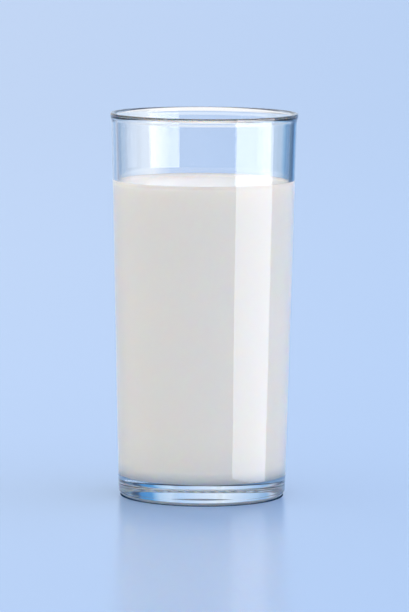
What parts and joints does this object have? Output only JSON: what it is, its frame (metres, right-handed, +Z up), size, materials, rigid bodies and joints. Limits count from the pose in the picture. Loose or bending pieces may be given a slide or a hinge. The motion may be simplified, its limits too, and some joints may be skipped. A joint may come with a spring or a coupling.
{
  "type": "glass of milk",
  "caption": "Tall straight-sided clear glass tumbler, slightly wider at the mouth, filled with white milk to a little below its rim.",
  "frame": {"origin": "centre of the foot, on the table that the glass stands on", "axes": "+Z up along the axis of the glass; X and Y are free, because the part is turned about Z"},
  "size_m": [0.0658, 0.0658, 0.135],
  "materials": {
    "tumbler": "clear, fire-polished",
    "milk": "opaque liquid, soft gloss"
  },
  "bodies": {
    "root": {"tumbler": "tumbler", "milk": "milk"}
  },
  "joints": []
}
